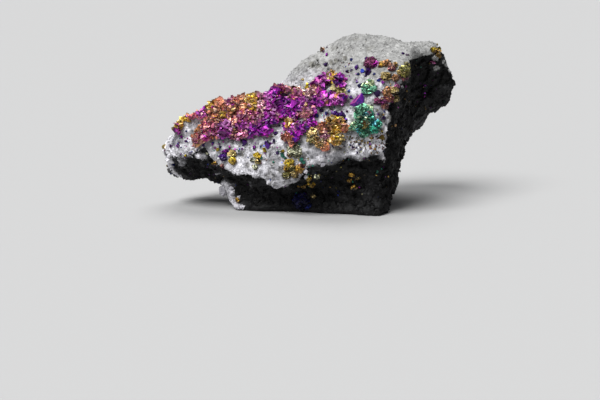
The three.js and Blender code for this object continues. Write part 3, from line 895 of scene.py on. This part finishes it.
# The masses by their slot, with the lobes of each: their middle [x, z], radius and look. The single
# large crystal has none.
MASSES = {
    "magenta_crystal": {
        "crust_main": [(*lobe, look) for look, lobes in CRUST_LOOKS.items() for lobe in lobes],
        "magenta_ball": [
            (16.1, 38.5, 1.4, "rose"), (15.5, 38.4, 1.1, "rose"), (16.9, 38.4, 0.9, "plum"),
            (16.2, 39.3, 0.8, "rose"),
        ],
        "magenta_right": [
            (19.5, 31.9, 1.0, "copper"), (21.2, 32.2, 0.8, "brass"), (22.0, 33.1, 0.6, "magenta"),
            (17.1, 29.6, 0.8, "rose"), (18.4, 29.6, 0.9, "rose"), (19.9, 30.3, 1.0, "salmon"),
            (21.5, 29.9, 0.9, "olive"), (18.9, 28.5, 0.8, "dark"),
        ],
    },
    "gold_crystal": {
        "gold_centre": [
            (0.9, 21.7, 1.2, "olive"), (0.7, 20.6, 0.9, "brass"), (1.6, 19.9, 0.8, "bronze"),
            (3.6, 23.3, 1.0, "orange"), (4.1, 21.9, 1.2, "tan"), (5.3, 24.7, 0.9, "bronze"),
            (6.5, 25.3, 0.8, "yellow"), (7.7, 24.6, 1.1, "gold"), (8.7, 23.2, 0.8, "orange"),
            (6.6, 22.6, 1.2, "yellow"), (5.0, 23.4, 0.9, "copper"), (6.1, 20.7, 1.1, "yellow"),
            (7.6, 21.2, 0.6, "brass"), (2.6, 19.4, 1.0, "olive"), (3.8, 18.7, 1.0, "orange"),
        ],
        "gold_far_right": [
            (32.5, 40.6, 0.8, "gold"), (33.5, 39.5, 0.9, "bronze"), (34.5, 40.6, 0.7, "gold"),
        ],
        "gold_left_tip": [(-38.1, 16.3, 0.6, "brass"), (-38.0, 15.4, 0.4, "magenta")],
        "gold_pair_left": [(-19.8, 15.8, 0.9, "brass"), (-19.7, 14.0, 0.9, "gold")],
        "gold_bottom_centre": [
            (-5.1, 14.0, 1.1, "gold"), (-5.7, 12.9, 0.9, "bronze"), (-2.8, 12.7, 1.0, "bronze"),
            (-2.1, 13.5, 0.7, "dark"), (-5.8, 11.1, 1.0, "shaded"), (-3.9, 11.4, 1.0, "olive"),
            (-4.2, 12.7, 0.8, "shaded"),
        ],
        "gold_shadow_edge": [
            (0.2, 8.5, 0.8, "yellow"), (-0.4, 10.2, 0.6, "yellow"), (1.6, 10.7, 0.6, "sage"),
            (-1.9, 7.8, 0.6, "bronze"), (-3.3, 7.8, 0.6, "bronze"), (0.7, 4.5, 0.6, "olive"),
        ],
        "gold_foot": [(-19.0, 2.7, 0.6, "bronze")],
    },
    "bronze_crystal": {
        "bronze_top_right": [
            (18.5, 38.3, 0.8, "bronze"), (19.8, 38.5, 0.9, "copper"), (20.9, 37.7, 0.9, "dark"),
            (21.7, 38.3, 0.7, "bronze"), (23.9, 36.5, 1.4, "moss"), (23.1, 36.6, 0.9, "brass"),
            (24.1, 35.3, 0.8, "dark"), (25.5, 35.1, 0.5, "brass"), (21.6, 35.1, 0.8, "copper"),
            (22.6, 35.6, 0.6, "dark"), (24.6, 38.0, 0.7, "shaded"),
        ],
        "pink_far_right": [(32.5, 37.2, 0.6, "magenta"), (31.7, 37.1, 0.4, "yellow")],
        "pink_top_edge": [(4.0, 41.2, 0.6, "copper"), (4.3, 40.7, 0.5, "purple")],
        "gold_small_left": [
            (-24.5, 13.1, 0.6, "bronze"), (-22.4, 12.4, 0.6, "dark"), (-22.8, 11.2, 0.4, "olive"),
        ],
        "bronze_under_lip": [
            (10.5, 10.8, 0.7, "bronze"), (11.9, 9.9, 0.6, "olive"), (10.0, 9.0, 0.6, "bronze"),
            (11.0, 7.1, 0.6, "bronze"),
        ],
    },
    "olive_crystal": {
        "olive_crystal": [(19.3, 35.6, 1.0, "olive")],
        "gold_left_low": [
            (-13.2, 15.6, 0.8, "yellow"), (-14.6, 14.6, 0.6, "sage"), (-13.2, 14.2, 0.7, "brass"),
            (-13.8, 12.6, 0.7, "sage"), (-14.6, 12.9, 0.4, "copper"),
        ],
        "grey_green_mass": [
            (-4.2, 17.5, 1.3, "sage"), (-3.3, 16.8, 1.2, "sage"), (-3.7, 18.5, 0.9, "sage"),
            (-5.0, 16.2, 0.6, "copper"),
        ],
    },
    "teal_crystal": {
        "teal_lower": [
            (13.4, 27.8, 1.2, "teal"), (14.9, 27.8, 0.9, "green"), (14.9, 27.2, 0.5, "tan"),
            (12.4, 26.3, 1.0, "teal"), (13.8, 26.5, 0.8, "cyan"), (15.2, 26.4, 0.8, "pine"),
            (14.2, 25.3, 0.6, "green"), (11.4, 23.7, 0.9, "green"), (13.0, 24.4, 1.0, "teal"),
            (13.6, 24.4, 0.5, "bronze"), (12.6, 23.4, 1.0, "teal"), (15.8, 24.5, 0.8, "cyan"),
            (15.8, 23.1, 1.2, "pine"), (17.1, 24.1, 0.7, "pine"), (13.7, 23.2, 0.5, "brass"),
            (12.0, 22.7, 0.6, "cyan"), (14.2, 22.3, 0.9, "teal"),
        ],
        "teal_upper": [
            (15.6, 33.7, 1.1, "green"), (14.8, 32.4, 1.1, "teal"), (16.1, 32.7, 0.9, "teal"),
            (14.3, 33.3, 0.8, "green"),
        ],
    },
    "violet_crystal": {
        "violet_tall_crystal": [],
        "violet_over_gold": [
            (6.6, 26.2, 0.9, "deep"), (8.2, 26.1, 0.8, "deep"), (8.9, 24.9, 0.6, "deep"),
            (8.2, 27.0, 0.4, "purple"), (9.5, 27.1, 0.4, "lilac"),
        ],
        "purple_right_face": [(30.6, 30.7, 0.6, "violet")],
        "violet_left": [(-22.1, 14.8, 0.9, "deep"), (-21.3, 16.2, 0.7, "violet")],
    },
    "blue_crystal": {
        "blue_bottom_ball": [(-2.1, 2.9, 2.2, "night"), (-0.9, 1.7, 1.0, "blue"), (-1.5, 4.4, 0.9, "blue")],
    },
}

# How brightly each mass's colours are painted, where it isn't as the others do: partly the tarnish's own
# brightness and partly painted light and shade, with most low ones for masses in the shade under and right of
# the rock and high ones for the crust and solids that shade themselves.
PLAIN_PAINTED_LIGHT = 0.35
PAINTED_LIGHT_BY_MASS = {"crust_main": 2.6, "gold_centre": 2.2, "teal_lower": 2.0, "blue_bottom_ball": 0.4,
         "gold_pair_left": 0.5, "gold_far_right": 0.2, "bronze_top_right": 0.33}

# No crystal on a solid stands above this line [x, z] or in these bare spots [x, z, radius].
CRUST_TOP = [(-36.1, 19.9), (-34.3, 23.6), (-32.6, 25.2), (-31.0, 25.5), (-29.5, 25.9), (-27.9, 26.8),
             (-26.2, 28.2), (-24.6, 29.4), (-21.6, 29.5), (-18.5, 30.1), (-15.4, 30.5), (-12.3, 30.6),
             (-10.7, 30.8), (-9.1, 32.4), (-6.5, 33.0), (-4.8, 32.4), (-2.2, 32.4), (-1.5, 31.6), (0.6, 32.2),
             (1.5, 34.2), (2.6, 35.4), (5.5, 36.6), (7.3, 37.0), (10, 36)]
BARE = [(-26.3, 25.7, 0.8), (-27.2, 24.8, 0.8), (-28.1, 23.8, 0.8), (-28.9, 22.9, 0.8), (-29.9, 22.1, 0.8),
        (-30.9, 20.9, 0.7), (-0.8, 32.6, 1.0), (-31.3, 17.3, 1.5), (-31.2, 19.2, 1.2), (-29.2, 17.0, 0.9),
        (-35.0, 20.3, 1.2), (-30.4, 18.4, 1.0)]

# Layers of crystals over a mass: their size, their spacing, and how far each is sunk, in its own sizes.
LAYERS = [(0.56, 0.82, 0.8), (0.40, 0.50, 0.4), (0.28, 0.46, 0.1)]
# The solids of these masses are covered with the smaller crystals, besides those on their lobes.
CONTINUOUS = ["gold_centre", "teal_lower"]
CRYSTAL_SIZES = 0.25
CRYSTAL_STRETCH = (0.75, 1.3)
# Some crystals are larger plates that face up, more or less.
PLATE_SHARE = 0.3
PLATE_LARGER = 1.35
PLATE_LEAN = 0.5
# Crystals on a solid are sunk into it, deeper along the crevices between its lumps.
SOLID_SUNK = 0.75
SOLID_LUMP = 2.8
CREVICE_DEPTH = 0.5
CREVICE_WIDTH = 0.35
# More places are drawn than are needed, and then thinned out. Their number is this, times the area of
# the solid or the square of the lobe's radius, over the square of the spacing.
TRIES_ON_SOLID = 8
TRIES_ON_LOBE = 40
# How much larger than its listed radius a lobe is. Then, in radii: how far out of the rock its middle is, how
# uneven it is, how large its dark core is, painted dark as painted shade between its crystals, and how large
# the crystals on it may be.
LOBE_SPREAD = 1.1
LOBE_STANDS = 0.1
LOBE_UNEVEN = 0.25
CORE = 0.75
LARGEST_ON_LOBE = 0.5
# How dark the core is painted: painted shade in the gaps between the crystals.
CORE_SHADE = 0.15
# Crystals deeper in the rock than this are left out, and those nearer than this, in radii, to the
# middle of a lobe.
SOLID_DEEPEST = 0.3
LOBE_DEEPEST = 0.2
NEAREST_TO_MIDDLE = 0.75


def cover(heap, places, ways, looks, painted_light, size, sunk, rng):
    """Puts a crystal at each place, standing out the given way. Most are sharp, and some are plates."""
    count = len(places)
    places = places - ways * size * sunk
    scales = size * rng.lognormal(0, CRYSTAL_SIZES, (count, 1)) * rng.uniform(*CRYSTAL_STRETCH, (count, 3))
    colours = look_colours(looks, ways, painted_light, rng)
    plates = rng.random(count) < PLATE_SHARE
    upright = unit(np.array([0, 0, 1]) + PLATE_LEAN * rng.normal(size=ways.shape))
    for shapes, chosen, turns, stretch in (
        (SHARP, np.flatnonzero(~plates), random_turns(count, rng), 1),
        (PLATE, np.flatnonzero(plates), turns_towards(upright, rng), PLATE_LARGER),
    ):
        heap.scatter(
            shapes, places[chosen], turns[chosen], scales[chosen] * stretch,
            lambda picked, facing: colours(chosen[picked], facing), rng, ways[chosen],
        )


def nearest_lobe(places, lobes):
    """The number of the lobe that each place belongs to, with ragged borders between lobes."""
    ragged = places + 0.5 * np.stack([rough_noise(places, 2, 200 + axis) for axis in range(3)], axis=1)
    reach = [np.hypot(ragged[:, 0] - x, ragged[:, 2] - z) / radius**0.7 for x, z, radius, _ in lobes]
    return np.argmin(reach, axis=0)


def cover_solid(heap, node, lobes, layers, rock, painted_light, rng):
    """Covers the solid of a mass, with the looks of the lobes that its crystals belong to."""
    points, triangles, _ = mesh_arrays(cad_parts[node].data)
    a, b, c = (points[triangles[:, corner]] for corner in range(3))
    area = np.linalg.norm(np.cross(b - a, c - a), axis=1).sum() / 2
    for size, spacing, sunk in layers:
        tries = int(TRIES_ON_SOLID * area / spacing**2)
        places, ways, _ = surface_points(points, triangles, tries, rng)
        kept = thin_out(places, spacing)
        places, ways = places[kept], ways[kept]
        _, gap, _, _ = cell_noise(places, SOLID_LUMP, 301)
        crevice = CREVICE_DEPTH * (1 - ramp(gap, 0, CREVICE_WIDTH))
        places = places - ways * (SOLID_SUNK + crevice)[:, None]
        outside = (rock.above(places) > -SOLID_DEEPEST) & (in_spots(places, BARE) < 0.5)
        outside &= places[:, 2] + size / 2 < line_at(CRUST_TOP, places[:, 0])
        places, ways = places[outside], ways[outside]
        looks = [lobes[lobe][3] for lobe in nearest_lobe(places, lobes)]
        if len(places):
            cover(heap, places, ways, looks, painted_light, size, sunk, rng)


def cover_lobes(heap, lobes, rock, painted_light, rng):
    """Covers round lobes that sit on the rock with crystals, except where they run into each other."""
    seats = [rock.seat(x, z) for x, z, _, _ in lobes]
    radii = np.array([radius for _, _, radius, _ in lobes]) * LOBE_SPREAD
    middles = np.array([spot + way * radius * LOBE_STANDS for (spot, way), radius in zip(seats, radii)])
    looks = [look for _, _, _, look in lobes]
    core_colours = look_colours(looks, np.array([way for _, way in seats]), painted_light, rng)
    heap.scatter(
        BALL, middles, random_turns(len(lobes), rng), np.repeat(radii[:, None] * CORE, 3, axis=1),
        lambda chosen, facing: core_colours(chosen, facing) * CORE_SHADE, rng,
    )
    for size, spacing, sunk in LAYERS:
        carriers = np.flatnonzero(radii * LARGEST_ON_LOBE > size)
        tries = (TRIES_ON_LOBE * radii[carriers] ** 2 / spacing**2).astype(int)
        owners = np.repeat(carriers, tries)
        ways = unit(rng.normal(size=(len(owners), 3)))
        uneven = 1 + LOBE_UNEVEN * rough_noise(middles[owners] + ways * radii[owners][:, None], 1.6, 401)
        places = middles[owners] + ways * (radii[owners] * uneven - 0.12)[:, None]
        reach = np.linalg.norm(places[:, None] - middles[None], axis=2) / radii
        kept = np.flatnonzero(reach.min(axis=1) > NEAREST_TO_MIDDLE)
        kept = kept[thin_out(places[kept], spacing)]
        kept = kept[rock.above(places[kept]) > -LOBE_DEEPEST]
        kept_looks = [looks[owner] for owner in owners[kept]]
        if len(kept):
            cover(heap, places[kept], ways[kept], kept_looks, painted_light, size, sunk, rng)


# The one large crystal is a fin. Its outline and its ridge, as ways right, up and out of the rock.
FIN_OUTLINE = [(-2.0, -1.3), (-1.2, 0.3), (0.6, 2.0), (1.5, 1.1), (1.8, -0.4), (0.9, -1.4), (-0.5, -1.7)]
FIN_RIDGE = [(0.9, 0.6, 1.2), (0.7, -0.1, 1.5), (0.2, -1.0, 1.3)]
FIN_PLACE = (12.3, 29.7)
FIN_PINK = (0.62, 0.12, 0.46)
FIN_BLUE = (0.04, 0.03, 0.34)
FIN_DEPTHS = (-0.8, 0.3)
# The shift and the scale of each fin.
FINS = [
    ((0, 0, 0), (1, 1, 1)),
    ((-0.55, 0.1, -0.1), (0.6, 0.8, 0.9)),
    ((0.5, -0.7, -0.1), (0.6, 0.5, 0.8)),
]
FIRST_SEED = 101


def make_fin(heap, rock, rng):
    """A smooth fin with smaller ones grown against its sides."""
    spot, way = rock.seat(*FIN_PLACE)
    right = unit(np.cross((0, 0, 1), way))
    turn = np.stack([right, np.cross(way, right), way], axis=1)
    outline = [(x, y, depth) for x, y in FIN_OUTLINE for depth in FIN_DEPTHS]
    fin = hull_shape(outline + FIN_RIDGE)

    def facet_colours(facing):
        local = facing @ turn
        share = 0.5 + 1.6 * local[:, 0] - 0.8 * local[:, 1] + 0.1 * rng.normal(size=len(facing))
        colours = mix(np.array([FIN_PINK] * len(facing)), np.array(FIN_BLUE), ramp(share, 0.2, 0.8))
        colours = mix(colours, np.array(PURPLE), rng.uniform(0, 0.5, len(facing)))
        return colours * rng.uniform(0.5, 0.8, (len(facing), 1))

    for shift, scale in FINS:
        heap.add(fin, (spot + turn @ shift)[None], turn[None], np.array([scale], float), facet_colours)


def make_masses(rock, materials):
    masses = [(slot, node, lobes) for slot, nodes in MASSES.items() for node, lobes in nodes.items()]
    for seed, (slot, node, lobes) in enumerate(masses, FIRST_SEED):
        rng = np.random.default_rng(seed)
        heap = Heap()
        painted_light = PAINTED_LIGHT_BY_MASS.get(node, PLAIN_PAINTED_LIGHT)
        if node == "violet_tall_crystal":
            make_fin(heap, rock, rng)
        elif node == "crust_main":
            cover_solid(heap, node, lobes, LAYERS, rock, painted_light, rng)
        else:
            cover_lobes(heap, lobes, rock, painted_light, rng)
        if node in CONTINUOUS:
            cover_solid(heap, node, lobes, LAYERS[1:], rock, painted_light, rng)
        heap.piece(f"{node}_crystals", materials[slot], slot, [node])


# -------- single crystals and knobs

# Crystals that sit on the rock one by one, by colour: the look, and each one's place [x, z] and radius.
SINGLES = {
    "violet": ("deep", [
        (17.0, 31.6, 0.8), (12.4, 37.4, 0.6), (10.0, 36.4, 0.4), (11.1, 36.7, 0.4), (15.1, 36.6, 0.7),
        (14.5, 35.6, 0.4), (4.8, 37.5, 0.6), (10.6, 30.4, 0.5), (12.3, 34.0, 0.4), (14.9, 39.6, 0.4),
        (24.1, 40.5, 0.4), (3.3, 27.0, 0.5), (-8.5, 21.1, 0.5), (-9.0, 19.4, 0.5), (-16.5, 18.6, 0.7),
        (-10.6, 18.4, 0.8), (-8.1, 16.5, 0.5), (-20.4, 17.0, 0.4), (-30.8, 15.5, 0.4), (-29.0, 16.4, 0.3),
        (-27.2, 17.9, 0.4), (18.6, 25.5, 0.5), (15.4, 36.2, 0.6), (-11.0, 18.9, 0.5), (-16.9, 19.1, 0.5),
    ]),
    "blue": ("blue", [
        (13.1, 33.3, 0.6), (13.8, 36.6, 0.5), (12.7, 35.9, 0.4), (11.1, 39.3, 0.4), (16.6, 36.0, 0.4),
        (13.8, 31.4, 0.4), (10.2, 31.8, 0.4), (4.5, 26.5, 0.5), (2.0, 25.8, 0.4), (-12.4, 17.9, 0.3),
        (-22.5, 19.4, 0.3), (-24.8, 18.4, 0.3), (-23.0, 17.4, 0.4), (-31.8, 21.2, 0.3), (23.6, 21.1, 0.3),
    ]),
    "teal": ("pine", [
        (-20.7, 19.5, 0.3), (-18.1, 16.6, 0.3), (-12.2, 15.1, 0.3), (-6.9, 16.1, 0.6), (-6.3, 15.4, 0.4),
        (-2.2, 15.2, 0.5), (-1.8, 14.4, 0.5), (16.8, 11.5, 0.3), (-2.7, 18.9, 0.3),
    ]),
    "magenta": ("violet", [
        (17.9, 34.9, 0.4), (18.6, 34.2, 0.4), (25.2, 40.1, 0.4), (-14.2, 17.8, 0.3), (-14.2, 17.3, 0.3),
        (-33.1, 19.5, 0.4), (-32.0, 18.6, 0.4), (-34.1, 17.2, 0.4), (-36.3, 17.0, 0.4), (-32.4, 14.5, 0.3),
        (5.1, 40.0, 0.4), (5.2, 41.7, 0.25), (15.0, 19.1, 0.3), (10.6, 18.4, 0.3),
    ]),
    "gold": ("gold", [
        (-23.6, 16.8, 0.5), (-11.4, 17.1, 0.6), (-6.8, 17.0, 0.5), (-0.2, 33.0, 0.4), (-1.3, 34.0, 0.4),
        (-0.3, 32.3, 0.5), (17.8, 20.6, 0.6), (18.3, 20.2, 0.4), (15.5, 20.6, 0.35), (12.9, 20.0, 0.3),
        (-32.1, 14.9, 0.4), (18.0, 22.1, 0.3), (17.2, 22.3, 0.3), (13.7, 19.5, 0.25), (11.7, 19.8, 0.25),
        (21.6, 22.8, 0.35), (20.6, 23.0, 0.25), (25.0, 30.9, 0.3), (34.9, 42.2, 0.3),
    ]),
}

# Tiny crystals strewn over a patch of the rock: how many, the middle [x, z], the spread, and the looks.
STREWN = [
    (80, (17.3, 23.0), (1.3, 3.5), ("dark", "shaded", "deep", "bronze", "night", "sage")),
    (110, (12.5, 19.3), (3.8, 1.3), ("shaded", "deep", "sage", "dark", "night", "bronze")),
    (16, (-33.0, 18.0), (2.0, 1.6), ("violet", "plum", "blue")),
    (44, (-19.0, 17.5), (6.0, 1.6), ("blue", "pine", "violet", "plum", "sage")),
    (34, (-8.0, 17.0), (2.5, 2.0), ("blue", "pine", "violet", "dark")),
    (14, (4.0, 26.8), (2.6, 0.7), ("blue", "violet", "pine")),
    (20, (13.0, 35.5), (4.0, 1.6), ("violet", "blue", "dark")),
    (16, (-1.5, 13.5), (1.2, 2.0), ("pine", "sage", "dark", "olive")),
    (60, (27.0, 29.0), (6.0, 6.0), ("violet", "shaded", "plum", "pine", "night", "bronze")),
    (50, (6.0, 9.0), (9.0, 4.0), ("violet", "bronze", "blue", "pine", "shaded")),
    (30, (-27.0, 9.5), (6.0, 3.0), ("violet", "blue", "shaded")),
]
STREWN_SIZE = 0.23
# None is further from the middle of its patch than this, in its spreads.
STREWN_REACH = 1.8
# Singles are this much larger than their listed radius, and their colours are painted this bright, a painted
# light as for the masses.
SINGLE_LARGER = 1.4
SINGLE_PAINTED_LIGHT = 0.22

# Pale knobs [x, z, radius], mostly on the left foot.
KNOBS = [(-22.4, 4.5, 1.15), (-20.6, 5.7, 0.4), (-20.3, 4.7, 0.55), (-20.2, 3.4, 0.45), (-19.9, 2.5, 0.4),
         (-19.4, 1.7, 0.5), (-18.7, 3.3, 0.35), (-18.7, 0.9, 0.6), (-17.8, 0.9, 0.4),
         (-1.2, 12.2, 0.4), (3.3, 14.1, 0.45), (-1.0, 10.6, 0.4)]
KNOB_GRAIN = 0.26
KNOB_ROCK = np.array([0.50, 0.49, 0.53])
# How much the sizes of singles and knobs vary, and the shades of the knobs.
SEATED_STRETCH = (0.85, 1.1)
KNOB_SHADES = (0.85, 1.1)


def seated(places, rock, rng, stands):
    """Where crystals or knobs [x, z, radius] sit, with the way that each stands and its size."""
    seats = [rock.seat(x, z) for x, z, _ in places]
    radii = np.array([radius for _, _, radius in places])
    ways = np.array([way for _, way in seats])
    middles = np.array([spot for spot, _ in seats]) + ways * radii[:, None] * stands
    return middles, ways, radii[:, None] * rng.uniform(*SEATED_STRETCH, (len(places), 3))


def make_singles(rock, materials, rng):
    for colour, (look, places) in SINGLES.items():
        middles, ways, scales = seated(places, rock, rng, stands=0.25)
        heap = Heap()
        colours = look_colours([look] * len(places), ways, SINGLE_PAINTED_LIGHT, rng)
        turns = random_turns(len(places), rng)
        heap.scatter(BLOCKS, middles, turns, scales * SINGLE_LARGER, colours, rng, ways)
        slot = f"{colour}_crystal"
        heap.piece(f"{colour}_singles", materials[slot], slot)


def make_strewn(rock, material, rng):
    heap = Heap()
    for count, middle, spread, looks in STREWN:
        away = np.clip(rng.normal(size=(count, 2)), -STREWN_REACH, STREWN_REACH)
        spots = np.array(middle) + away * spread
        radii = STREWN_SIZE * rng.lognormal(0, 0.3, count)
        middles, ways, scales = seated(list(zip(*spots.T, radii)), rock, rng, stands=0.3)
        colours = look_colours(list(rng.choice(looks, size=count)), ways, PLAIN_PAINTED_LIGHT, rng)
        heap.scatter(BLOCKS, middles, random_turns(count, rng), scales, colours, rng, ways)
    heap.piece("strewn_crystals", material, "violet_crystal")


def make_knobs(rock, material, rng):
    """Round clusters of pale grains."""
    middles, _, scales = seated(KNOBS, rock, rng, stands=0.45)
    middles[:, 2] = np.maximum(middles[:, 2], scales.max(axis=1) + KNOB_GRAIN)
    radii = scales.mean(axis=1)
    owners = np.repeat(np.arange(len(KNOBS)), (20 * radii**2 / KNOB_GRAIN**2).astype(int))
    ways = unit(rng.normal(size=(len(owners), 3)))
    heap = Heap()

    def pale(chosen, facing):
        return KNOB_ROCK * rng.uniform(*KNOB_SHADES, (len(chosen), 1))

    heap.scatter(BALL, middles, random_turns(len(KNOBS), rng), scales, pale, rng)
    heap.scatter(
        GRAINS, middles[owners] + ways * scales[owners] * 0.9, random_turns(len(owners), rng),
        KNOB_GRAIN * rng.lognormal(0, 0.3, (len(owners), 1)) * np.ones(3), pale, rng,
    )
    heap.piece("pale_knobs", material, "matrix")


# -------- stage, light and camera

# The camera's place, how far down it looks, how far it is rolled, in radians, and its sensor and lens.
CAMERA_PLACE = np.array([-2.78, -416.2, 75.0])
CAMERA_DOWN = math.radians(10)
CAMERA_ROLL = -0.024
SENSOR = 36
LENS = 96
# The floor and the background, in metres and as linear colours.
FLOOR_REACH = 6
FLOOR_GREY = (0.33, 0.33, 0.33, 1)
FLOOR_ROUGHNESS = 0.8
SKY = (0.8, 0.82, 0.86, 1)
SKY_STRENGTH = 0.18


def make_camera():
    camera = bpy.data.objects.new("camera", bpy.data.cameras.new("camera"))
    bpy.context.scene.collection.objects.link(camera)
    camera.data.sensor_width = SENSOR
    camera.data.lens = LENS
    tilt = Matrix.Rotation(math.pi / 2 - CAMERA_DOWN, 4, "X")
    roll = Matrix.Rotation(CAMERA_ROLL, 4, "Z")
    camera.matrix_world = Matrix.Translation(Vector(CAMERA_PLACE * MM)) @ tilt @ roll
    bpy.context.scene.camera = camera


def make_light(name, source, softness, power):
    """A distant light that comes from the given way and seems this many radians wide."""
    light = bpy.data.lights.new(name, "SUN")
    light.angle = softness
    light.energy = power
    holder = bpy.data.objects.new(name, light)
    bpy.context.scene.collection.objects.link(holder)
    holder.rotation_euler = Vector(source).to_track_quat("Z", "Y").to_euler()


def make_stage():
    mesh = bpy.data.meshes.new("floor")
    signs = [(-1, -1), (1, -1), (1, 1), (-1, 1)]
    mesh.from_pydata([(x * FLOOR_REACH, y * FLOOR_REACH, 0) for x, y in signs], [], [(0, 1, 2, 3)])
    floor = bpy.data.objects.new("floor", mesh)
    bpy.context.scene.collection.objects.link(floor)
    material, _, _, surface = node_tree("floor_paint")
    surface.inputs["Base Color"].default_value = FLOOR_GREY
    surface.inputs["Roughness"].default_value = FLOOR_ROUGHNESS
    mesh.materials.append(material)
    world = bpy.data.worlds.new("studio")
    world.use_nodes = True
    sky = world.node_tree.nodes["Background"]
    sky.inputs["Color"].default_value = SKY
    sky.inputs["Strength"].default_value = SKY_STRENGTH
    bpy.context.scene.world = world
    make_light("key", source=(-0.4, -0.5, 0.85), softness=0.6, power=5.2)
    make_light("top", source=(0.1, 0.25, 0.95), softness=0.8, power=2.0)


# -------- the specimen

make_stage()
make_camera()
bpy.context.scene.view_settings.view_transform = "Standard"

rock = Rock(rock_material("sugary_rock", roughness=0.45))
grain_stone = rock_material("sugar_grains", roughness=0.35)
broken_and_shaded = rock.broken_and_shaded[rock.triangles[:, 0]] > 0.5
for seed, (kind, wanted, count, size) in enumerate(GRAIN_PIECES, 1):
    make_grains(f"sugar_grains_{kind}", rock, broken_and_shaded == wanted, count, size, seed, grain_stone)

tarnishes = {slot: tarnish_material(f"{slot}_tarnish", roughness=0.25) for slot in MASSES}
make_masses(rock, tarnishes)
make_singles(rock, tarnishes, np.random.default_rng(11))
make_strewn(rock, tarnishes["violet_crystal"], np.random.default_rng(12))
make_knobs(rock, grain_stone, np.random.default_rng(13))
